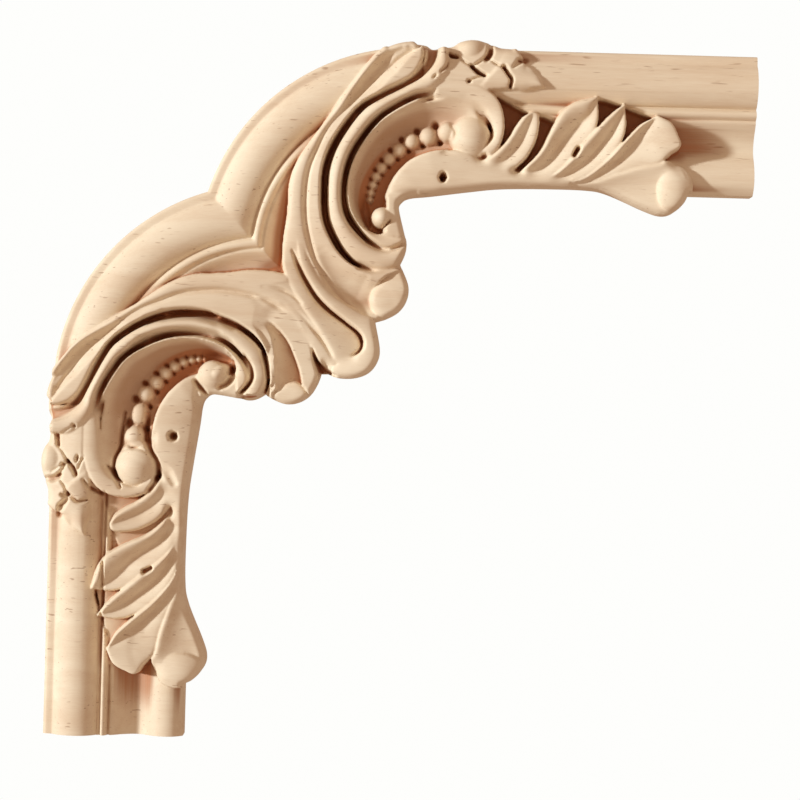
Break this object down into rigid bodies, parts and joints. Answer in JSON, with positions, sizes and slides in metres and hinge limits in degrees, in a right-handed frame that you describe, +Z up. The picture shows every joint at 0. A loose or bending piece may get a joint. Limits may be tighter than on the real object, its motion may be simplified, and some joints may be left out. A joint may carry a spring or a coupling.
{
  "type": "wooden corner onlay",
  "caption": "Carved wooden corner onlay: a moulding that turns the corner in two round lobes, with leaf work and a beaded scroll on each arm.",
  "frame": {"origin": "on the flat back, in the body of the corner on its diagonal, 95 mm in from both outer edges", "axes": "+X along the upper arm towards its cut end, +Y out of the flat back into the wall, +Z up; the side arm runs down along -Z"},
  "size_m": [0.2833, 0.0218, 0.2832],
  "materials": {
    "wood": "matt"
  },
  "bodies": {
    "root": {"corner_onlay": "wood"}
  },
  "joints": []
}
